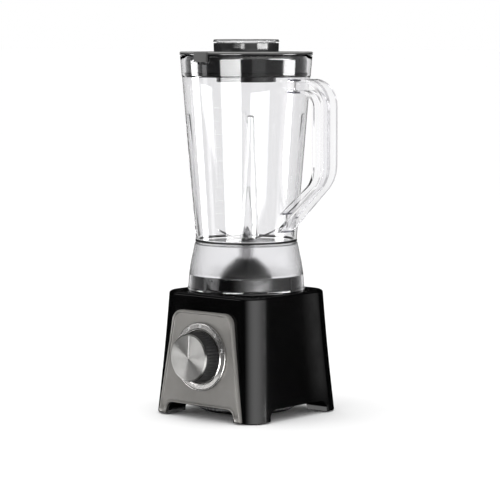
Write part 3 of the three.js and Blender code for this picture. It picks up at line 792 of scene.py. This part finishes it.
def jar_angles():
    """Angles round the jar in degrees, close together across the four flutes."""
    out = []
    for quarter in range(4):
        centre = 45 + 90 * quarter
        out += [centre - 45 + 2.5 * k for k in range(14)]
        out += [centre - 10 + 0.4 * k for k in range(50)]
        out += [centre + 10 + 2.5 * k for k in range(14)]
    return [math.radians(a) for a in out]


def jar_body():
    """The clear wall, with closer levels where the flutes end and where the wall steps out under the rim."""
    climb = [JAR_LOW + 0.6 + k * 0.8 for k in range(7)]
    climb += [JAR_LOW + 6 + (296 - JAR_LOW - 6) * k / 26 for k in range(27)]
    climb += [297 + k for k in range(5)] + [301.6 + k * 0.2 for k in range(16)]
    climb += [306, 312, 320, 330, 338, 341.0, 341.8, 342.2, 343, 350, 358, RIM_Z - 1.2]

    def outer(z):
        return jar_radius(z) - (0.35 if z < 342 else 0)

    wall_out = [(outer(z), z) for z in climb]
    wall_in = [(jar_radius(z) - JAR_WALL, z) for z in reversed(climb)]
    rim_out, rim_in = outer(RIM_Z), outer(RIM_Z) - JAR_WALL
    top = [(rim_out - 0.25, RIM_Z - 0.4), (rim_out - 0.8, RIM_Z), (rim_in + 0.8, RIM_Z),
           (rim_in + 0.25, RIM_Z - 0.4)]
    foot_out = outer(JAR_LOW)
    low = [(foot_out - JAR_WALL + 0.6, JAR_LOW), (foot_out - 0.6, JAR_LOW)]

    def pressed(r, a, z):
        return r - flute_depth(a, z)

    profile = wall_out + top + wall_in + low
    jar = lathe("jar_wall", profile, MATERIALS["clear_jar"], jar_angles(), wobble=pressed)
    notch = box_object("notch", (13, 20, 16), (0, -66.9, RIM_Z - 1))
    combine(jar, notch)
    smooth(jar.data, 40)
    return declare(jar, "jar", "clear_jar", "jar")


def handle_outline(inset):
    """The handle from the side, as (distance from the jar's axis, height), pulled in by an inset."""
    outer = 109.7 - inset
    inner = 95 + inset
    top, under = 339.8 - inset, 325.6 + inset
    outer_r, inner_r = 27 - inset, 14 + inset
    root = 45 - inset * 0.8
    points = [(50, top), (66, top)]
    points += arc(outer - outer_r, top - outer_r, outer_r, 90, 0, 14)
    points += [(outer, 300), (outer, 275)]
    points += bend((outer, 256), (outer, 240.5), (outer - 12, 229.6), 10)
    points += [(root, 178.6 + inset * 0.9), (root, 197 - inset * 0.6)]
    points += bend((inner - 9, 232 + inset * 0.2), (inner, 239.5), (inner, 250), 8)
    points += [(inner, 275), (inner, 300)]
    points += arc(inner - inner_r, under - inner_r, inner_r, 0, 90, 10)
    points += [(66, under), (50, under)]
    return points


def jar_marks():
    """A scale of plain strokes on the jar, a longer one for each full measure."""
    lowest, step, thick, turn = 206, 13.2, 0.6, math.radians(-77)
    for k in range(9):
        z = lowest + step * k
        r = jar_radius(z) - 0.3
        reach = (5.2 if k % 2 == 0 else 3.2) / r
        section = [(r - 0.1, z - thick / 2), (r + 0.12, z - thick / 2), (r + 0.12, z + thick / 2),
                   (r - 0.1, z + thick / 2)]
        angles = [turn + reach * (i - 4) / 4 for i in range(9)]
        loops = [[on_axis(out * math.cos(a), out * math.sin(a), up) for out, up in section] for a in angles]
        declare(skin(f"jar_mark_{k + 1}", loops, MATERIALS["mark_white"]), "jar", "clear_jar")


def bend(start, corner, finish, steps):
    """A quadratic curve from start to finish round a corner."""
    start, corner, finish = Vector(start), Vector(corner), Vector(finish)
    out = []
    for k in range(steps + 1):
        t = k / steps
        out.append(tuple(start * (1 - t) ** 2 + corner * 2 * t * (1 - t) + finish * t ** 2))
    return out


def handle():
    def place(u, v, depth):
        return on_axis(u, depth, v)

    half, web, rim = 11, 2, 3.2
    bar = extruded("handle_grip", handle_outline(0), -half, half, place, MATERIALS["handle_plastic"])
    for low, high in ((-half - 3, -web), (web, half + 3)):
        combine(bar, extruded("pocket", handle_outline(rim), low, high, place))
    space = [(jar_radius(z) + 0.35, z) for z in (150, 342, 365)]
    combine(bar, lathe("jar_space", [(0, 150)] + space + [(0, 365)], None, 192))
    rounded_edges(bar, 0.8, 3, 40)
    declare(bar, "jar", "clear_jar", "handle")
    for i, z in enumerate((338.3, 326.4, 205.2, 187.2), 1):
        near = jar_radius(z) + 0.5
        far = near + 3.4
        edge = [(near, -9), (far, -9), (far, 9), (near, 9)]
        flange = extruded(f"handle_flange_{i}", edge, z - 0.8, z + 0.8, on_axis, MATERIALS["smoky_clear"])
        combine(flange, round_bar("wall", near, z - 5, z + 5, 128))
        rounded_edges(flange, 0.3, 2)
        declare(flange, "jar", "clear_jar")


def jar_collar():
    """The skirt with its plain lower band, the jar's floor and the sleeve under it."""
    wall = 2.2
    inside = [
        (5, 147.5, 0.3), (7.2, 147.5, 0.4), (7.2, 172.7, 1.5), (49.8, 172.7, 1.5), (54.2 - wall, 163, 2),
        (56.4 - wall, 152), (56.1, 142.8), (56.7, 141.4, 0.2), (56.76, 140.7), (57.74, 129),
        (57.8, 128.2, 0.2), (57.9, COLLAR_LOW, 0.4),
    ]
    outside = [
        (59.6, COLLAR_LOW, 0.5), (59.6, 128, 0.4), (59.2, 128.4, 0.2), (59.12, 129.3), (58.18, 140.6),
        (58.05, 142.1), (56.4, 153), (54.3, 163), (52.1, FLOOR_TOP, 0.8),
    ]
    floor_top = [
        (46.5, FLOOR_TOP, 0.3), (45.5, FLOOR_TOP - 0.8, 0.3), (12, FLOOR_TOP - 0.8, 0.3),
        (11, FLOOR_TOP, 0.3), (5, FLOOR_TOP, 0.3),
    ]
    skirt = lathe("collar_skirt", inside + outside + floor_top, MATERIALS["frosted_clear"], 192)
    return declare(skirt, "jar", "frosted_clear", "jar_collar")


def seals():
    r, high = radius_mm("jar_gasket"), high_mm("jar_gasket")
    gasket = lathe("jar_gasket_ring", [
        (r - 3, high - 1.6, 0.3), (r, high - 1.6, 0.6), (r, high, 0.6), (r - 3, high, 0.3),
    ], MATERIALS["rubber"], 160)
    declare(gasket, "jar", "rubber", "jar_gasket")
    r, low, high = radius_mm("lid_seal"), low_mm("lid_seal"), high_mm("lid_seal")
    seal = lathe("lid_seal_ring", [
        (r - 1.3, low, 0.2), (r - 0.4, low, 0.3), (r, low + 0.8, 0.3), (r - 0.5, low + 1.6, 0.2),
        (r, high - 0.6, 0.3), (r - 0.4, high, 0.3), (r - 1.3, high, 0.2),
    ], MATERIALS["rubber"], 160)
    declare(seal, "lid", "rubber", "lid_seal")


def blade(name, node, reach, width, flat, rise, low, turn, curl):
    """A two-armed blade strip: flat at the hub, then curving up to sharpened tips."""
    thick = 1.5
    steps = 16
    spin = Matrix.Rotation(math.radians(turn), 3, "Z")
    loops = []
    for k in range(-steps, steps + 1):
        x = k / steps * reach
        out = max(0, abs(x) - flat) / (reach - flat)
        side = 1 if x >= 0 else -1
        half = width / 2 * (1 - out ** 1.4 * 0.94)
        z = low + rise * out ** curl
        lean = side * width * 0.3 * out ** 2
        section = ((-half, z), (-half * 0.7, z + thick), (half * 0.7, z + thick), (half, z))
        loops.append([spin @ Vector((x, y + lean, up)) * MM + AXIS for y, up in section])
    strip = skin(name, loops, MATERIALS["steel"], 25)
    combine(strip, round_bar("hub_hole", HUB_BORE, 150, 220))
    smooth(strip.data, 25)
    return declare(strip, "blades", "steel", node)


def blade_set():
    lower, upper = low_mm("blade_lower"), low_mm("blade_upper")
    blade("blade_long", "blade_lower", 29.8, 9.5, 7, 8.3, lower + 0.05, 25, 1.5)
    blade("blade_cross", "blade_upper", 24.8, 8.5, 6, 7.3, upper + 0.05, 122, 1.6)
    shaft = lathe("blade_spindle", [
        (0, 141.6), (3, 141.6, 0.5), (3, 175.8), (5.2, 175.8, 0.3), (5.2, 176.6, 0.3), (3, 176.6),
        (3, 185, 0.6), (0, 185),
    ], MATERIALS["steel"], 64)
    declare(shaft, "blades", "steel", "blade_shaft")
    hexagon = arc(0, 0, 5, 0, 300, 5)
    low, high = low_mm("blade_nut"), high_mm("blade_nut")
    nut = extruded("blade_top_nut", hexagon, low, high, on_axis, MATERIALS["steel"])
    combine(nut, round_bar("hub_hole", HUB_BORE, 150, 220))
    rounded_edges(nut, 0.3, 2)
    declare(nut, "blades", "steel", "blade_nut")


# ---- Lid and cap ----

def lid():
    plug = 61.2
    rim = 67.2
    rim_low, rim_high = 363.4, 366.6
    bore = 27.9
    body = lathe("lid_cover", [
        (bore, 336, 0.3), (bore + 2.4, 336, 0.5), (bore + 2.4, rim_low, 1), (plug - 2.4, rim_low, 1),
        (plug - 2.4, 341.5, 0.3), (plug - 0.8, 341.5, 0.3), (plug - 0.8, 345.9, 0.2), (plug, 345.9, 0.3),
        (plug + 0.8, rim_low, 0.3), (rim, rim_low, 0.3), (rim + 0.25, rim_low + 1, 0.6),
        (rim - 0.6, rim_high, 1.0), (38, rim_high + 0.25, 0.5), (33.3, rim_high + 0.1, 0.4),
        (32.8, rim_high + 0.6), (32.82, rim_high + 0.9), (33.02, 374.5), (33.03, 374.8), (32.6, 375.3, 0.3),
        (30.7, 375.3, 0.4), (30.7, 373.2), (bore, 373.2, 0.5),
    ], MATERIALS["lid_black"], 192)
    tab = box_object("lid_tab", (16, 3, 9.5), (0, -rim - 1.4, rim_high - 5.4))
    bridge = box_object("bridge", (16, 5, 2.4), (0, -rim + 0.6, rim_low + 1.5))
    combine(tab, bridge, "UNION")
    tab.data.materials.append(MATERIALS["lid_grey"])
    rounded_edges(tab, 0.7, 3)
    # A lighter grey ring round the rim's top edge: a painted highlight where the rim catches the light.
    edge = lathe("lid_rim_highlight_ring", [
        (rim - 1.6, rim_high - 0.4), (rim + 0.05, rim_high - 1.5), (rim + 0.22, rim_high - 1.1, 0.2),
        (rim - 0.3, rim_high - 0.25, 0.3), (rim - 1.4, rim_high + 0.04, 0.2),
    ], MATERIALS["lid_rim_painted_highlight"], 192)
    declare(body, "lid", "gloss_black", "lid")
    declare(edge, "lid", "gloss_black", "lid")
    declare(tab, "lid", "gloss_black", "lid")


def measuring_cap():
    wall = 2.2
    cup = 27.4
    piece = lathe("cap_cup", [
        (0, CAP_TOP - wall), (cup - wall - 1, CAP_TOP - wall, 2), (cup - 1 - wall, 338.5, 0.5),
        (cup - 1, 338.5, 0.6), (cup, 373.75), (30, 373.75, 0.3), (30, 376.2, 0.3), (33.2, 376.2, 0.5),
        (33.4, 377.3, 0.5), (32.8, 378.7, 0.6), (28, 379, 0.6), (27.2, 378.6, 0.3), (0, 378.7),
    ], MATERIALS["handle_plastic"], 160)
    return declare(piece, "cap", "clear_jar", "measuring_cap")


# ---- Parts that keep their CAD shape ----

def finish_cad_nodes():
    slots = {row["node"]: row["material_slot"] for row in frame["record"]["subparts"]}
    for name, obj in NODES.items():
        obj.data.materials.clear()
        look = "bright_metal" if name == "bearing_bush" else slots[name]
        obj.data.materials.append(MATERIALS[look])
        smooth(obj.data, 30)


# ---- Stage, lights and camera ----

CAMERA_AZIMUTH = math.radians(41)


def towards(azimuth_deg):
    """A level direction, in degrees from the camera's own direction, positive to the camera's right."""
    a = CAMERA_AZIMUTH + math.radians(azimuth_deg)
    return Vector((math.sin(a), -math.cos(a), 0))


def camera():
    reach, height = 2.3, 0.38
    aim_height, aim_right = 0.1652, 0.0038
    data = bpy.data.cameras.new("camera")
    data.lens = 163.3
    data.sensor_width = 36
    cam = link(bpy.data.objects.new("camera", data))
    cam.location = AXIS + towards(0) * reach + Vector((0, 0, height))
    aim = AXIS + Vector((0, 0, aim_height)) + towards(90) * aim_right
    cam.rotation_euler = (aim - cam.location).to_track_quat("-Z", "Y").to_euler()
    bpy.context.scene.camera = cam


def floor():
    size = 60
    verts = [Vector((x, y, -0.0002)) for x, y in ((-size, -size), (size, -size), (size, size), (-size, size))]
    m = Material("floor", color=(1.0, 1.0, 1.0), roughness=0.9)
    m.set("Specular IOR Level", 0.0)
    plane = mesh_object("floor", verts, [[0, 1, 2, 3]], m.data)
    plane.visible_glossy = False
    plane.visible_transmission = False


def lights():
    """A wide lamp overhead for the soft shadow under the base."""
    top = bpy.data.lights.new("overhead", "AREA")
    top.shape = "DISK"
    top.size = 1.6
    top.energy = 9
    lamp = link(bpy.data.objects.new("overhead", top))
    lamp.location = AXIS + Vector((-0.2, -0.3, 1.8))
    lamp.rotation_euler = (AXIS - lamp.location).to_track_quat("-Z", "Y").to_euler()
    lamp.visible_glossy = False
    lamp.visible_transmission = False


# The lights that gloss sees: stops of (degrees from the camera, positive to its right; brightness), then the
# heights between which each one shines, as the sine of its elevation: dark, full, full, dark.
LIGHTS = {
    "tall_boxes": ([
        (-116, 0), (-113, 14), (-97, 14), (-95, 0), (-86, 0), (-83, 2.5), (-76, 2.5), (-74, 0), (-48, 0),
        (-45, 14), (-11, 18), (-9, 0.1), (9, 0.1), (12, 0.9), (33, 0.9), (37, 0.4), (68, 0.4), (71, 18),
        (94, 18), (97, 0),
    ], (-0.6, -0.45, -0.1, -0.088)),
    "lid_boxes": ([
        (-30, 0), (-20, 0.5), (-18, 13), (-7, 13), (-5, 0.5), (38, 0.5), (42, 22), (80, 22), (82, 0),
    ], (-0.1, -0.088, -0.044, -0.034)),
    "front_wash": ([
        (-30, 0), (-25, 0.15), (-16, 0.6), (-6, 1.35), (4, 1.95), (14, 2.3), (26, 2.4), (36, 2.25),
        (48, 1.95), (59, 1.5), (71, 1.05), (81, 0.65), (90, 0.3), (95, 0.03), (100.1, 0.01), (101, 0.42),
        (102.4, 0.42), (103.6, 0),
    ], (-0.062, -0.05, 0.15, 0.17)),
    "left_patch": ([(-96, 0), (-92, 1.2), (-87, 1.7), (-85.8, 1.3), (-85, 0)], (-0.014, 0.0, 0.03, 0.05)),
    "left_wash": ([
        (-104, 0), (-98, 0.8), (-76, 2.2), (-66, 3.2), (-58, 2.0), (-48, 0.1), (-44, 0),
    ], (0.05, 0.062, 0.13, 0.15)),
    "backdrop": ([(-180, 1), (-158, 1), (-150, 0), (150, 0), (158, 1), (180, 1)], (0.002, 0.006, 0.04, 0.06)),
    "ceiling": ([(-180, 0.4), (180, 0.4)], (0.55, 0.85, 2, 3)),
}

# What the boss mirrors through the skirt round it.
BOSS_BOXES = ([
    (-100, 0), (-88, 1.2), (-74, 4), (-62, 2.5), (-54, 0), (-8, 0), (8, 1.5), (26, 5.5), (42, 3), (56, 0),
], (0.005, 0.012, 0.04, 0.05))

# The same tall boxes as the jar's far wall mirrors them towards the viewer.
FAR_BOXES = ([
    (-48, 0), (-45, 5), (-9, 6), (-7, 0), (69, 0), (72, 6), (97, 6), (100, 0),
], (0.072, 0.084, 0.2, 0.24))


class World:
    """Small helpers for the world's node tree."""

    def __init__(self):
        world = bpy.data.worlds.new("studio")
        bpy.context.scene.world = world
        world.use_nodes = True
        self.tree = world.node_tree
        self.back = self.tree.nodes["Background"]
        place = self.tree.nodes.new("ShaderNodeTexCoord")
        self.direction = place.outputs["Generated"]
        rays = self.tree.nodes.new("ShaderNodeLightPath")
        self.rays = rays.outputs

    def math(self, operation, a, b=None, c=None):
        node = self.tree.nodes.new("ShaderNodeMath")
        node.operation = operation
        for k, value in enumerate((a, b, c)):
            if value is None:
                continue
            if isinstance(value, (int, float)):
                node.inputs[k].default_value = value
            else:
                self.tree.links.new(value, node.inputs[k])
        return node.outputs[0]

    def along(self, direction):
        node = self.tree.nodes.new("ShaderNodeVectorMath")
        node.operation = "DOT_PRODUCT"
        self.tree.links.new(self.direction, node.inputs[0])
        node.inputs[1].default_value = direction
        return node.outputs["Value"]

    def spread(self, value, low, high, to_low, to_high, soft=True):
        node = self.tree.nodes.new("ShaderNodeMapRange")
        node.interpolation_type = "SMOOTHSTEP" if soft else "LINEAR"
        for key, number in (("From Min", low), ("From Max", high), ("To Min", to_low), ("To Max", to_high)):
            node.inputs[key].default_value = number
        self.tree.links.new(value, node.inputs["Value"])
        return node.outputs["Result"]

    def ramp(self, value, stops):
        """A brightness that follows stops of (0 to 1 place, brightness)."""
        most = max(level for _, level in stops)
        node = self.tree.nodes.new("ShaderNodeValToRGB")
        elements = node.color_ramp.elements
        while len(elements) > 1:
            elements.remove(elements[-1])
        for k, (at, level) in enumerate(stops):
            made = elements[0] if k == 0 else elements.new(at)
            made.position = at
            made.color = (level / most, level / most, level / most, 1)
        self.tree.links.new(value, node.inputs["Fac"])
        return self.math("MULTIPLY", node.outputs["Color"], most)

    def light(self, share, height, stops, window):
        """One painted light: its brightness round the studio, kept between two heights."""
        level = self.ramp(share, [((angle + 180) / 360, level) for angle, level in stops])
        level = self.math("MULTIPLY", level, self.spread(height, window[0], window[1], 0, 1))
        return self.math("MULTIPLY", level, self.spread(height, window[2], window[3], 1, 0))

    def pick(self, share, when_off, when_on):
        """when_on where share is 1 and when_off where it is 0."""
        kept = self.math("MULTIPLY", when_off, self.math("SUBTRACT", 1, share))
        return self.math("MULTIPLY_ADD", when_on, share, kept)


def surroundings():
    """A white studio. Gloss sees a dark room with tall bands of light, and glass a white wall behind it."""
    world = World()
    facing = world.along(towards(0))
    sideways = world.along(towards(90))
    turn = world.math("ARCTAN2", sideways, facing)
    share = world.math("MULTIPLY_ADD", turn, 0.5 / math.pi, 0.5)
    height = world.along(Vector((0, 0, 1)))
    gloss = 0.004
    for stops, window in LIGHTS.values():
        gloss = world.math("ADD", gloss, world.light(share, height, stops, window))
    # Straight through glass: a white wall behind, greyer beside it.
    # By a mirroring inside glass: dark in front.
    behind = world.spread(facing, -0.93, -0.5, 1.0, 0.4)
    clean = world.math("ADD", behind, world.spread(facing, -0.5, -0.2, 0, 0.45))
    clean = world.math("MULTIPLY_ADD", gloss, 0.02, clean)
    mirrored = world.math("MULTIPLY", behind, world.spread(facing, -0.1, 0.4, 1.0, 0.12))
    mirrored = world.math("MULTIPLY_ADD", gloss, 0.1, mirrored)
    for stops, window in (FAR_BOXES, BOSS_BOXES):
        mirrored = world.math("ADD", mirrored, world.light(share, height, stops, window))
    bounced = world.math("GREATER_THAN", world.rays["Glossy Depth"], 0.5)
    glass = world.pick(bounced, clean, mirrored)
    through = world.math("GREATER_THAN", world.rays["Transmission Depth"], 0.5)
    seen = world.pick(through, gloss, glass)
    direct = world.rays["Is Camera Ray"]
    diffuse = world.rays["Is Diffuse Ray"]
    total = world.pick(direct, seen, 1.0)
    total = world.pick(diffuse, total, 1.0)
    world.tree.links.new(total, world.back.inputs["Strength"])
    world.back.inputs["Color"].default_value = (1, 1, 1, 1)
    bpy.context.scene.view_settings.view_transform = "Standard"


camera()
floor()
lights()
surroundings()
finish_cad_nodes()
base_housing()
base_boss()
control_panel()
dial_bezel()
knob()
bottom_plate()
feet_and_screws()
cord_gland()
jar_body()
jar_marks()
handle()
jar_collar()
seals()
blade_set()
lid()
measuring_cap()
